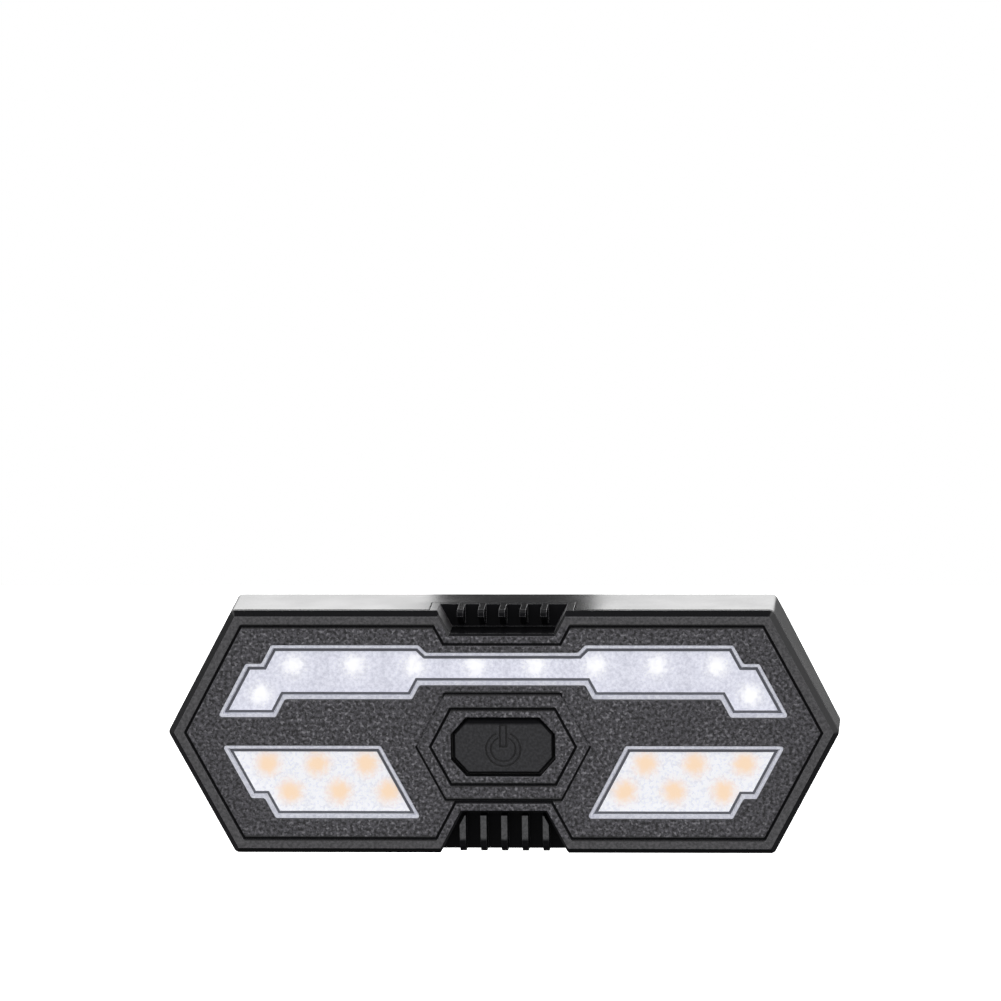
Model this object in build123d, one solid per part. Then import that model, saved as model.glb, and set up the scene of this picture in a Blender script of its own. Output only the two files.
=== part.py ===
from build123d import *
import math
import os

# A bicycle tail light on a seat-post bracket. All sizes are in millimetres.
# The row frame has its origin on the seat post's axis, +X to the right as a follower sees the
# light, -Y towards that follower and +Z up. The light's own frame has the same directions, but
# its Y is the depth behind the light's front face, so that the face is at Y = 0.

# Light body, outside
BODY_WIDTH = 100.0
BODY_HEIGHT = 36.8
CORNER_INSET = 9.8
BODY_DEPTH = 14.0
TIP_DEPTH = 9.5
CORNER_ROUND = 0.9
BACK_ROUND = 0.7
WALL = 1.8

# Front cover
FACE = 2.0
EDGE_BEVEL = 0.8
RIM_BAND = 1.0
SEAM = 0.3
SEAM_BEVEL = 0.2
LIP_WIDTH = 1.2
LIP_LENGTH = 2.2
RIM_LINE_INSET = 2.3
LINE_WIDTH = 0.42
LINE_DEPTH = 0.45
FIT_GAP = 0.15
SEAL_INSET = 0.5
CUT_MARGIN = 1.0

# Ribbed notches in the top and bottom edges
NOTCH_MOUTH = 19.1
NOTCH_WALL = 1.0
NOTCH_BAND = 1.6
NOTCH_BEVEL = 0.35
TOP_NOTCH_HEIGHT = 3.4
TOP_NOTCH_DEPTH = 5.9
TOP_RIB_FRONT = 1.0
TOP_RIB_ROUND = 0.5
BOTTOM_NOTCH_HEIGHT = 6.25
BOTTOM_NOTCH_DEPTH = 4.0
BOTTOM_RIB_FRONT = 0.5
BOTTOM_RIB_ROUND = 1.9
RIB_COUNT = 5
RIB_PITCH = 3.1
RIB_WIDTH = 0.9
RIB_FOOT = 0.4
RIB_CLEAR = 0.55

# Button and the two six-sided lines around it
BUTTON_Z = -2.13
BUTTON_WIDTH = 15.0
BUTTON_HEIGHT = 8.4
BUTTON_CUT_X = 2.15
BUTTON_CUT_Z = 2.4
BUTTON_GAP = 0.3
BUTTON_RECESS = 0.6
BUTTON_BEVEL = 0.35
BUTTON_FLANGE = 0.9
BUTTON_FLANGE_THICK = 0.7
BUTTON_STOP_GAP = 0.1
BUTTON_POST_RADIUS = 1.4
FRAME_LINES = ((12.95, 8.08, 0.34, 0.35), (10.85, 5.735, 0.42, 0.5))

# Power symbol on the button
ICON_OUTER = 2.45
ICON_INNER = 1.95
ICON_GAP_HALF_ANGLE = 24.0
ICON_LINE = 0.22
ICON_DEPTH = 0.2
ICON_BAR_WIDTH = 0.7
ICON_BAR_TOP = 3.5
ICON_BAR_BOTTOM = 0.45
ICON_DROP = 0.5

# Lenses
LENS_GAP = 0.05
LENS_SET = 0.1
LENS_ROUND = 0.45
LENS_BORDER = 0.5
LENS_SLOPE = 0.15
LENS_RECESS = 0.5
LENS_LINE = 0.4
LENS_LINE_DEPTH = 0.25
LENS_WINDOW = 1.2
LENS_FLANGE = 1.0
LENS_FLANGE_THICK = 1.0
UPPER_LENS_TOP = 13.31
UPPER_LENS_STEP_TOP = 10.5
UPPER_LENS_STEP_WIDTH = 2.35
UPPER_LENS_MIDDLE_TOP = 12.18
UPPER_LENS_MIDDLE_HALF = 12.37
UPPER_LENS_BOTTOM = 5.03
UPPER_LENS_MIDDLE_BOTTOM = 7.15
UPPER_LENS_BOTTOM_HALF = 13.43
UPPER_LENS_TIP_Z = 2.28
UPPER_LENS_TIP_INSET = 7.4
UPPER_LENS_FOOT = 8.77
LOWER_LENS_TOP = -1.94
LOWER_LENS_TIP_INSET = 8.0
LOWER_LENS_STEP_Z = -10.05
LOWER_LENS_STEP_WIDTH = 1.95
LOWER_LENS_BOTTOM = -13.08
LOWER_LENS_INNER = 12.3

# Light tray and circuit board
TRAY_BACK = 5.5
TRAY_TIP_INSET = 6.4
TRAY_GAP = 0.25
CAVITY_INSET = 0.2
BOARD_FRONT = 5.6
BOARD_THICKNESS = 1.2
BOARD_GAP = 0.5

# Lamps
LAMP_WIDTH = 3.5
LAMP_HEIGHT = 2.8
LAMP_THICK = 0.7
WHITE_COUNT = 8
WHITE_Z = 9.5
WHITE_INSET = 18.5
WHITE_END_Z = 5.1
WHITE_END_INSET = 13.5
AMBER_Z = (-5.4, -9.6)
AMBER_FIRST = 20.8
AMBER_INSET = 14.5
AMBER_SHIFT = 3.2
AMBER_PER_ROW = 3

# Push switch under the button
SWITCH_SIZE = 5.2
SWITCH_THICK = 0.9
STEM_RADIUS = 1.1
STEM_HOLE_RADIUS = 1.2
STEM_SUNK = 0.2
STEM_HOLE_DEPTH = 0.6

# Chips on the back of the board: centre X, centre Z, width, height, thickness
CONTROL_CHIP = (24.0, 9.0, 6.0, 5.0, 1.4)
CHARGER_CHIP = (33.5, -7.0, 3.0, 3.0, 0.9)
RADIO_CHIP = (33.5, 6.5, 5.0, 5.0, 0.9)
RADIO_ANTENNA = (36.0, 0.5, 7.0, 2.2, 0.8)

# Battery
BATTERY_X = (-30.0, 18.0)
BATTERY_Z = (-13.5, 13.0)
BATTERY_THICK = 4.4
BATTERY_ROUND = 1.6
PAD_THICK = 0.5
PAD_INSET = 3.0
LEAD_RADIUS = 0.6
LEAD_SPACING = 1.8
LEAD_HEIGHT = 1.9
LEAD_BEND = 3.6
LEAD_BEND_SHARE = 0.45
PLUG_Z = 2.0
PLUG_SIZE = (4.5, 3.4, 5.0)
LEAD_LENGTH = 6.0

# Charging socket and its rubber cover, in the lower wall
SOCKET_X = 27.0
SHELL_WIDTH = 8.94
SHELL_THICK = 3.26
SHELL_LENGTH = 7.3
SHELL_WALL = 0.3
SHELL_SET = 1.0
SHELL_LIFT = 0.05
SHELL_END_FLAT = 0.02
TONGUE_WIDTH = 6.7
TONGUE_THICK = 0.7
TONGUE_SET = 1.3
COVER_LENGTH = 14.6
COVER_HEIGHT = 6.2
COVER_THICK = 0.9
COVER_GAP = 0.2
COVER_PLUG = (7.2, 1.9, 1.9)

# Screws
COVER_SCREW_X_INSET = 12.6
COVER_SCREW_Z_INSET = 4.7
COVER_SCREW_RADIUS = 0.98
COVER_SCREW_HEAD_RADIUS = 1.9
COVER_SCREW_HEAD = 1.4
COVER_SCREW_TIP = 4.0
COVER_BOSS_RADIUS = 2.2
COVER_BOSS_BACK = 7.0
COLUMN_RADIUS = 2.8
BOARD_SCREW_X_INSET = 4.8
BOARD_SCREW_Z = -0.2
BOARD_SCREW_RADIUS = 0.68
BOARD_SCREW_HEAD_RADIUS = 1.5
BOARD_SCREW_HEAD = 0.9
BOARD_SCREW_TIP = 3.6
BOARD_BOSS_RADIUS = 1.7
THREAD_GAP = 0.02
HOLE_GAP = 0.2
HEAD_GAP = 0.25
BLIND_END = 0.5
CROSS_WIDTH = 0.4
CROSS_DEPTH = 0.5
CROSS_SHARE = 0.65

# Channel on the light's back and the bracket's slide tongue that it hangs on
SLIDE_WIDTH = 18.0
SLIDE_THICK = 2.6
SLIDE_NECK = 12.0
SLIDE_GAP = 0.2
SLIDE_TOP = 8.8
SLIDE_BOTTOM = -9.0
CHANNEL_WALL = 2.4
CHANNEL_LIP = 2.2
CHANNEL_STOP = 2.0
BRACKET_GAP = 0.5
SLIDE_BEVEL = 0.5

# Sunk panel on the back
PANEL_SIDE_INSET = 18.0
PANEL_EDGE_INSET = 3.4
PANEL_CUT = 4.0
PANEL_DEPTH = 0.4

# Seat-post bracket
POST_DIAMETER = 27.2
LINER_THICK = 1.5
COLLAR_WALL = 3.2
COLLAR_HEIGHT = 18.0
COLLAR_GAP = 3.0
COLLAR_ROUND = 0.8
BASE_WIDTH = 22.0
BASE_FRONT = 1.4
EAR_THICK = 5.0
EAR_HEIGHT = 14.0
EAR_END = 5.5
EAR_ROUND = 3.0
EAR_BEVEL = 0.6
CLAMP_SCREW_OUT = 8.7
CLAMP_SCREW_RADIUS = 2.0
CLAMP_SCREW_TAIL = 1.5
CLAMP_CLEARANCE = 0.1
NUT_SIZE = 7.0
NUT_THICK = 3.2
NUT_THREAD_GAP = 0.05
NUT_GAP = 0.1
KNOB_RADIUS = 7.5
KNOB_THICK = 6.0
KNOB_LOBES = 8
KNOB_SCALLOP = 1.6
KNOB_EDGE = 0.8
BOLT_HEAD = 7.0
BOLT_HEAD_THICK = 2.8
WASHER_RADIUS = 4.5
WASHER_THICK = 0.8

# Places worked out from the sizes
HALF_WIDTH = BODY_WIDTH / 2
HALF_HEIGHT = BODY_HEIGHT / 2
CORNER_X = HALF_WIDTH - CORNER_INSET
LEAN = CORNER_INSET / HALF_HEIGHT
SHELL_FRONT = RIM_BAND + SEAM
BOARD_BACK = BOARD_FRONT + BOARD_THICKNESS
INNER_BACK = BODY_DEPTH - WALL
BATTERY_BACK = INNER_BACK - PAD_THICK
BATTERY_FRONT = BATTERY_BACK - BATTERY_THICK
SHELL_FACE_Z = -HALF_HEIGHT + SHELL_SET
SOCKET_Y = BOARD_BACK + SHELL_LIFT + SHELL_THICK / 2
COVER_HINGE_X = SOCKET_X - COVER_LENGTH / 2
COVER_HINGE_Z = -HALF_HEIGHT + COVER_THICK / 2
CHANNEL_BACK = BODY_DEPTH + 2 * SLIDE_GAP + SLIDE_THICK + CHANNEL_LIP
LINER_OUTER = POST_DIAMETER / 2 + LINER_THICK
COLLAR_OUTER = LINER_OUTER + COLLAR_WALL
BASE_FACE_Y = -(COLLAR_OUTER + BASE_FRONT)
FACE_Y = BASE_FACE_Y - BRACKET_GAP - CHANNEL_BACK
CLAMP_SCREW_X = COLLAR_OUTER + CLAMP_SCREW_OUT
EAR_OUT = CLAMP_SCREW_X + EAR_END
EAR_FACE = COLLAR_GAP / 2 + EAR_THICK


# Outlines: lists of (x, z) points in the light's frame, seen from the front

def hexagon(half_width, half_height, middle_z=0.0):
    """Six points with the body's own lean on the slanting sides."""
    corner = half_width - LEAN * half_height
    right = [(corner, half_height), (half_width, 0.0), (corner, -half_height)]
    left = [(-x, z) for x, z in reversed(right)]
    return [(x, z + middle_z) for x, z in right + left]


def mirrored(right_half):
    """A closed outline from the points of its right half, listed from the top down."""
    left_half = [(-x, z) for x, z in reversed(right_half) if x > 0]
    return right_half + left_half


def upper_lens_outline():
    """The long lens: stepped outer ends that drop to a tip, and a narrower middle."""
    tip_x = HALF_WIDTH - UPPER_LENS_TIP_INSET
    step_x = tip_x - LEAN * (UPPER_LENS_STEP_TOP - UPPER_LENS_TIP_Z)
    inner_step_x = step_x - UPPER_LENS_STEP_WIDTH
    shoulder_x = inner_step_x - LEAN * (UPPER_LENS_TOP - UPPER_LENS_STEP_TOP)
    middle_rise = UPPER_LENS_TOP - UPPER_LENS_MIDDLE_TOP
    foot_x = tip_x - UPPER_LENS_FOOT
    heel_x = foot_x - LEAN * (UPPER_LENS_BOTTOM - UPPER_LENS_TIP_Z)
    middle_bottom_x = UPPER_LENS_BOTTOM_HALF - LEAN * (UPPER_LENS_MIDDLE_BOTTOM - UPPER_LENS_BOTTOM)
    return mirrored([
        (UPPER_LENS_MIDDLE_HALF - middle_rise, UPPER_LENS_MIDDLE_TOP),
        (UPPER_LENS_MIDDLE_HALF, UPPER_LENS_TOP),
        (shoulder_x, UPPER_LENS_TOP),
        (inner_step_x, UPPER_LENS_STEP_TOP),
        (step_x, UPPER_LENS_STEP_TOP),
        (tip_x, UPPER_LENS_TIP_Z),
        (foot_x, UPPER_LENS_TIP_Z),
        (heel_x, UPPER_LENS_BOTTOM),
        (UPPER_LENS_BOTTOM_HALF, UPPER_LENS_BOTTOM),
        (middle_bottom_x, UPPER_LENS_MIDDLE_BOTTOM),
    ])


def lower_lens_outline(side):
    """A short lens: side 1 is the right one, -1 the left one."""
    tip_x = HALF_WIDTH - LOWER_LENS_TIP_INSET
    step_x = tip_x - LEAN * (LOWER_LENS_TOP - LOWER_LENS_STEP_Z)
    inner_step_x = step_x - LOWER_LENS_STEP_WIDTH
    bottom_x = inner_step_x - LEAN * (LOWER_LENS_STEP_Z - LOWER_LENS_BOTTOM)
    inner_top_x = LOWER_LENS_INNER + LEAN * (LOWER_LENS_TOP - LOWER_LENS_BOTTOM)
    points = [
        (inner_top_x, LOWER_LENS_TOP),
        (tip_x, LOWER_LENS_TOP),
        (step_x, LOWER_LENS_STEP_Z),
        (inner_step_x, LOWER_LENS_STEP_Z),
        (bottom_x, LOWER_LENS_BOTTOM),
        (LOWER_LENS_INNER, LOWER_LENS_BOTTOM),
    ]
    return [(side * x, z) for x, z in points]


def notch_outline(side, height, grow=0.0, over=0.0):
    """A notch in the top edge (side 1) or bottom edge (side -1), widening to its mouth."""
    mouth_half = NOTCH_MOUTH / 2 + grow * math.hypot(1, LEAN)
    floor_half = mouth_half - LEAN * (height + grow)
    mouth_half += LEAN * over
    floor_z = HALF_HEIGHT - height - grow
    mouth_z = HALF_HEIGHT + over
    points = [(-mouth_half, mouth_z), (mouth_half, mouth_z), (floor_half, floor_z), (-floor_half, floor_z)]
    return [(x, side * z) for x, z in points]


def button_outline():
    """The eight-sided button."""
    x = BUTTON_WIDTH / 2
    z = BUTTON_HEIGHT / 2
    right = [(x - BUTTON_CUT_X, z), (x, z - BUTTON_CUT_Z), (x, BUTTON_CUT_Z - z), (x - BUTTON_CUT_X, -z)]
    return [(px, pz + BUTTON_Z) for px, pz in mirrored(right)]


LENS_OUTLINES = {
    "upper_lens": upper_lens_outline(),
    "lower_left_lens": lower_lens_outline(-1),
    "lower_right_lens": lower_lens_outline(1),
}
NOTCHES = (
    (1, TOP_NOTCH_HEIGHT, TOP_NOTCH_DEPTH),
    (-1, BOTTOM_NOTCH_HEIGHT, BOTTOM_NOTCH_DEPTH),
)
COVER_SCREWS = [
    (sx * (HALF_WIDTH - COVER_SCREW_X_INSET), sz * (HALF_HEIGHT - COVER_SCREW_Z_INSET))
    for sx in (-1, 1) for sz in (-1, 1)
]
BOARD_SCREWS = [(sx * (HALF_WIDTH - BOARD_SCREW_X_INSET), BOARD_SCREW_Z) for sx in (-1, 1)]


# Building blocks in the light's frame

def drawn(points, grow=0.0, corner=0.0):
    """A flat face with the given outline, its corners rounded, then grown or shrunk."""
    face = make_face(Polyline(*points, close=True))
    if corner:
        face = fillet(face.vertices(), corner)
    if grow:
        face = offset(face, grow, kind=Kind.INTERSECTION)
    return face


def push(face, front, back, taper=0.0):
    """A face carried from one depth to another."""
    seat = Plane(origin=(0, front, 0), x_dir=(1, 0, 0), z_dir=(0, 1, 0))
    flipped = mirror(face, about=Plane.XZ)
    return extrude(seat * flipped, amount=back - front, taper=taper)


def plate(points, front, back, grow=0.0, corner=0.0, taper=0.0):
    """A flat piece with the given outline between two depths."""
    return push(drawn(points, grow, corner), front, back, taper)


def rod(x, z, radius, front, back):
    """A round bar along the depth."""
    return push(Pos(x, z) * Circle(radius), front, back)


def brick(x, z, width, height, front, back):
    """A box given by its middle, its size seen from the front and its two depths."""
    return push(Pos(x, z) * Rectangle(width, height), front, back)


def body_block(inset, front):
    """The body's whole form with its sloping ends, drawn in from all sides but the front."""
    outline = hexagon(HALF_WIDTH, HALF_HEIGHT)
    corner = 0.0 if inset else CORNER_ROUND
    block = plate(outline, front, BODY_DEPTH - inset, grow=-inset, corner=corner)
    plan = make_face(Polyline(
        (-HALF_WIDTH, front), (HALF_WIDTH, front), (HALF_WIDTH, TIP_DEPTH - inset),
        (CORNER_X, BODY_DEPTH - inset), (-CORNER_X, BODY_DEPTH - inset),
        (-HALF_WIDTH, TIP_DEPTH - inset), close=True))
    return block & extrude(plan, amount=HALF_HEIGHT, both=True)


# Front cover

def cover_rim_line():
    """The groove that follows the rim and steps round both notches."""
    inner = drawn(hexagon(HALF_WIDTH, HALF_HEIGHT), grow=-RIM_LINE_INSET)
    for side, height, _ in NOTCHES:
        inner -= drawn(notch_outline(side, height, grow=NOTCH_BAND, over=CUT_MARGIN))
    wide = offset(inner, LINE_WIDTH / 2, kind=Kind.INTERSECTION)
    narrow = offset(inner, -LINE_WIDTH / 2, kind=Kind.INTERSECTION)
    return push(wide - narrow, 0, LINE_DEPTH)


def frame_line(half_width, half_height, width, depth):
    """One of the six-sided grooves round the button."""
    outline = hexagon(half_width, half_height, BUTTON_Z)
    ring = drawn(outline, grow=width / 2) - drawn(outline, grow=-width / 2)
    return push(ring, 0, depth)


def top_rib_profile():
    """Side view of a rib in the top notch, which leans forward towards the mouth."""
    floor = HALF_HEIGHT - TOP_NOTCH_HEIGHT
    side_view = make_face(Polyline(
        (TOP_NOTCH_DEPTH, floor), (TOP_NOTCH_DEPTH - RIB_FOOT, floor),
        (TOP_RIB_FRONT, HALF_HEIGHT - TOP_RIB_FRONT), (TOP_RIB_FRONT, HALF_HEIGHT),
        (TOP_NOTCH_DEPTH, HALF_HEIGHT), close=True))
    mouth_corner = side_view.vertices().group_by(Axis.Y)[-1].sort_by(Axis.X)[0]
    return fillet(mouth_corner, TOP_RIB_ROUND)


def bottom_rib_profile():
    """Side view of a rib in the bottom notch, upright with a large round at the mouth."""
    side_view = make_face(Polyline(
        (BOTTOM_NOTCH_DEPTH, BOTTOM_NOTCH_HEIGHT - HALF_HEIGHT),
        (BOTTOM_RIB_FRONT, BOTTOM_NOTCH_HEIGHT - HALF_HEIGHT),
        (BOTTOM_RIB_FRONT, -HALF_HEIGHT), (BOTTOM_NOTCH_DEPTH, -HALF_HEIGHT), close=True))
    mouth_corner = side_view.vertices().group_by(Axis.Y)[0].sort_by(Axis.X)[0]
    return fillet(mouth_corner, BOTTOM_RIB_ROUND)


def notch_ribs(side, height, depth, profile):
    """The row of ribs on a notch's back wall, kept clear of the notch's own sides."""
    room = plate(notch_outline(side, height, grow=-RIB_CLEAR), 0, depth)
    ribs = []
    for index in range(RIB_COUNT):
        x = (index - (RIB_COUNT - 1) / 2) * RIB_PITCH
        seat = Plane(origin=(x - RIB_WIDTH / 2, 0, 0), x_dir=(0, 1, 0), z_dir=(1, 0, 0))
        ribs.append(extrude(seat * profile, amount=RIB_WIDTH) & room)
    return ribs


def make_front_cover():
    """Front shell: bevelled plate with windows, button seat, notches, lip and screw bosses."""
    outline = hexagon(HALF_WIDTH, HALF_HEIGHT)
    cover = plate(outline, 0, RIM_BAND, corner=CORNER_ROUND)
    cover = chamfer(cover.faces().sort_by(Axis.Y)[0].edges(), EDGE_BEVEL)
    cover += plate(outline, RIM_BAND, FACE, grow=-(WALL + FIT_GAP))
    lip = drawn(outline, grow=-(WALL + FIT_GAP)) - drawn(outline, grow=-(WALL + FIT_GAP + LIP_WIDTH))
    cover += push(lip, FACE, FACE + LIP_LENGTH)
    for x, z in COVER_SCREWS:
        cover += rod(x, z, COVER_BOSS_RADIUS, FACE, COVER_BOSS_BACK)
    for x, z in BOARD_SCREWS:
        cover += rod(x, z, BOARD_BOSS_RADIUS, FACE, BOARD_FRONT)
    for side, height, depth in NOTCHES:
        cover += plate(notch_outline(side, height, grow=NOTCH_WALL), RIM_BAND, depth + NOTCH_WALL)
    for side, height, depth in NOTCHES:
        cover -= plate(notch_outline(side, height, over=CUT_MARGIN), 0, depth)
        bevel = notch_outline(side, height, grow=NOTCH_BEVEL, over=CUT_MARGIN)
        cover -= plate(bevel, 0, NOTCH_BEVEL, taper=45)
    for points in LENS_OUTLINES.values():
        cover -= plate(points, 0, FACE, corner=LENS_ROUND)
    cover -= plate(button_outline(), 0, FACE, grow=BUTTON_GAP)
    cover -= cover_rim_line()
    for half_width, half_height, width, depth in FRAME_LINES:
        cover -= frame_line(half_width, half_height, width, depth)
    for x, z in COVER_SCREWS:
        cover -= rod(x, z, COVER_SCREW_RADIUS + THREAD_GAP, COVER_SCREW_TIP - BLIND_END, COVER_BOSS_BACK)
    for x, z in BOARD_SCREWS:
        cover -= rod(x, z, BOARD_SCREW_RADIUS + THREAD_GAP, BOARD_SCREW_TIP - BLIND_END, BOARD_FRONT)
    for notch, profile in zip(NOTCHES, (top_rib_profile(), bottom_rib_profile())):
        for rib in notch_ribs(*notch, profile):
            cover += rib
    return cover


# Rear cover

def slide_channel():
    """The channel on the back that drops over the bracket's tongue, closed at its top."""
    half_inner = SLIDE_WIDTH / 2 + SLIDE_GAP
    half_outer = half_inner + CHANNEL_WALL
    top = SLIDE_TOP + SLIDE_GAP + CHANNEL_STOP
    height = top - SLIDE_BOTTOM
    middle = (top + SLIDE_BOTTOM) / 2
    block = brick(0, middle, 2 * half_outer, height, BODY_DEPTH - PANEL_DEPTH, CHANNEL_BACK)
    upright = block.edges().filter_by(Axis.Y)
    block = fillet(upright, CHANNEL_WALL / 2)
    room_top = SLIDE_TOP + SLIDE_GAP
    room_height = room_top - SLIDE_BOTTOM + CUT_MARGIN
    room_middle = room_top - room_height / 2
    lip_front = CHANNEL_BACK - CHANNEL_LIP
    block -= brick(0, room_middle, 2 * half_inner, room_height, BODY_DEPTH - PANEL_DEPTH, lip_front)
    block -= brick(0, room_middle, SLIDE_NECK + 2 * SLIDE_GAP, room_height, lip_front, CHANNEL_BACK)
    return block


def back_panel():
    """A shallow panel with cut corners, sunk into the back between the screws."""
    x = HALF_WIDTH - PANEL_SIDE_INSET
    z = HALF_HEIGHT - PANEL_EDGE_INSET
    right = [(x - PANEL_CUT, z), (x, z - PANEL_CUT), (x, PANEL_CUT - z), (x - PANEL_CUT, -z)]
    return plate(mirrored(right), BODY_DEPTH - PANEL_DEPTH, BODY_DEPTH)


def socket_window():
    """The opening for the charging socket and the shallow seat of its rubber cover."""
    wall_z = -HALF_HEIGHT + WALL / 2
    window = Pos(SOCKET_X, SOCKET_Y, wall_z) * Box(
        SHELL_WIDTH + 2 * FIT_GAP, SHELL_THICK + 2 * FIT_GAP, WALL + CUT_MARGIN)
    window = fillet(window.edges().filter_by(Axis.Z), SHELL_THICK / 2)
    seat = Pos(SOCKET_X, SOCKET_Y, -HALF_HEIGHT) * Box(
        COVER_LENGTH + COVER_THICK + 2 * COVER_GAP, COVER_HEIGHT + 2 * COVER_GAP, 2 * COVER_THICK)
    return window + seat


def make_rear_cover():
    """Rear shell: smooth walls, screw columns, socket window and the slide channel."""
    rear = body_block(0.0, SHELL_FRONT)
    rear = chamfer(rear.faces().sort_by(Axis.Y)[0].edges(), SEAM_BEVEL)
    rear = fillet(rear.faces().sort_by(Axis.Y)[-1].edges().filter_by(Axis.X), BACK_ROUND)
    rear -= body_block(WALL, SHELL_FRONT)
    for x, z in COVER_SCREWS:
        rear += rod(x, z, COLUMN_RADIUS, COVER_BOSS_BACK + FIT_GAP, BODY_DEPTH - WALL)
    for x, z in COVER_SCREWS:
        seat = BODY_DEPTH - COVER_SCREW_HEAD - BLIND_END
        rear -= rod(x, z, COVER_SCREW_RADIUS + HOLE_GAP, COVER_BOSS_BACK, BODY_DEPTH)
        rear -= rod(x, z, COVER_SCREW_HEAD_RADIUS + HEAD_GAP, seat, BODY_DEPTH)
    for side, height, depth in NOTCHES:
        room = notch_outline(side, height, grow=NOTCH_WALL + FIT_GAP, over=CUT_MARGIN)
        rear -= plate(room, SHELL_FRONT, depth + NOTCH_WALL + FIT_GAP)
    rear -= socket_window()
    rear -= back_panel()
    return rear + slide_channel()


def make_cover_seal():
    """Gasket in the seam between the shells, cut where the notch walls pass through."""
    outline = hexagon(HALF_WIDTH, HALF_HEIGHT)
    ring = drawn(outline, grow=-SEAL_INSET) - drawn(outline, grow=-(WALL + FIT_GAP))
    seal = push(ring, RIM_BAND, SHELL_FRONT)
    for side, height, depth in NOTCHES:
        seal -= plate(notch_outline(side, height, grow=NOTCH_WALL + FIT_GAP, over=CUT_MARGIN), 0, depth)
    return seal


# Lenses, light tray, board and lamps

def make_lens(points):
    """A lens with a bevelled border round a sunk window, and a flange behind the cover."""
    window_front = LENS_SET + LENS_RECESS
    window_back = window_front + LENS_WINDOW
    line_inset = LENS_BORDER + LENS_SLOPE
    lens = plate(points, LENS_SET, FACE, grow=-LENS_GAP, corner=LENS_ROUND)
    lens += plate(points, FACE, FACE + LENS_FLANGE_THICK, grow=LENS_FLANGE)
    slope = math.degrees(math.atan2(LENS_SLOPE, LENS_RECESS))
    lens -= plate(points, LENS_SET, window_front, grow=-LENS_BORDER, taper=slope)
    line = drawn(points, grow=-line_inset) - drawn(points, grow=-(line_inset + LENS_LINE))
    lens -= push(line, window_front, window_front + LENS_LINE_DEPTH)
    lens -= plate(points, window_back, FACE + LENS_FLANGE_THICK, grow=-(line_inset + LENS_LINE))
    for x, z in COVER_SCREWS:
        lens -= rod(x, z, COVER_BOSS_RADIUS + FIT_GAP, FACE, FACE + LENS_FLANGE_THICK)
    for x, z in BOARD_SCREWS:
        lens -= rod(x, z, BOARD_BOSS_RADIUS + FIT_GAP, FACE, FACE + LENS_FLANGE_THICK)
    return lens


def make_light_baffle():
    """White tray with a walled room behind each lens."""
    front = FACE + LENS_FLANGE_THICK + FIT_GAP
    tray = plate(hexagon(HALF_WIDTH, HALF_HEIGHT), front, TRAY_BACK,
                 grow=-(WALL + FIT_GAP + LIP_WIDTH + TRAY_GAP))
    tray &= brick(0, 0, BODY_WIDTH - 2 * TRAY_TIP_INSET, BODY_HEIGHT, front, TRAY_BACK)
    for points in LENS_OUTLINES.values():
        tray -= plate(points, front, TRAY_BACK, grow=-CAVITY_INSET)
    tray -= plate(button_outline(), front, TRAY_BACK, grow=BUTTON_FLANGE + 2 * TRAY_GAP)
    for side, height, _ in NOTCHES:
        room = notch_outline(side, height, grow=NOTCH_WALL + TRAY_GAP, over=CUT_MARGIN)
        tray -= plate(room, front, TRAY_BACK)
    for x, z in COVER_SCREWS:
        tray -= rod(x, z, COVER_BOSS_RADIUS + TRAY_GAP, front, TRAY_BACK)
    for x, z in BOARD_SCREWS:
        tray -= rod(x, z, BOARD_BOSS_RADIUS + TRAY_GAP, front, TRAY_BACK)
    return tray


def make_main_board():
    """Circuit board: cut round the deep top notch and the screw bosses, without its corners."""
    board = plate(hexagon(HALF_WIDTH, HALF_HEIGHT), BOARD_FRONT, BOARD_BACK, grow=-(WALL + BOARD_GAP))
    for side, height, depth in NOTCHES:
        if depth + NOTCH_WALL > BOARD_FRONT:
            room = notch_outline(side, height, grow=NOTCH_WALL + TRAY_GAP, over=CUT_MARGIN)
            board -= plate(room, BOARD_FRONT, BOARD_BACK)
    for x, z in COVER_SCREWS:
        board -= rod(x, z, COVER_BOSS_RADIUS + TRAY_GAP, BOARD_FRONT, BOARD_BACK)
    for x, z in BOARD_SCREWS:
        board -= rod(x, z, BOARD_SCREW_RADIUS + HOLE_GAP, BOARD_FRONT, BOARD_BACK)
    return board.solids().sort_by(SortBy.VOLUME)[-1]


def white_places():
    """The lamps behind the upper lens: one row, and one lower lamp at each end."""
    last = HALF_WIDTH - WHITE_INSET
    pitch = 2 * last / (WHITE_COUNT - 1)
    row = [(-last + index * pitch, WHITE_Z) for index in range(WHITE_COUNT)]
    ends = [(side * (HALF_WIDTH - WHITE_END_INSET), WHITE_END_Z) for side in (-1, 1)]
    return row + ends


def amber_places(side):
    """The lamps behind a lower lens: two rows, the lower one moved inwards."""
    last = HALF_WIDTH - AMBER_INSET
    pitch = (last - AMBER_FIRST) / (AMBER_PER_ROW - 1)
    places = []
    for row, z in enumerate(AMBER_Z):
        for index in range(AMBER_PER_ROW):
            places.append((side * (AMBER_FIRST + index * pitch - row * AMBER_SHIFT), z))
    return places


def make_lamps(places):
    """Small square lamps that stand on the front of the board."""
    front = BOARD_FRONT - LAMP_THICK
    return Compound(children=[
        brick(x, z, LAMP_WIDTH, LAMP_HEIGHT, front, BOARD_FRONT).solid() for x, z in places])


# Button and switch

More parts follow.
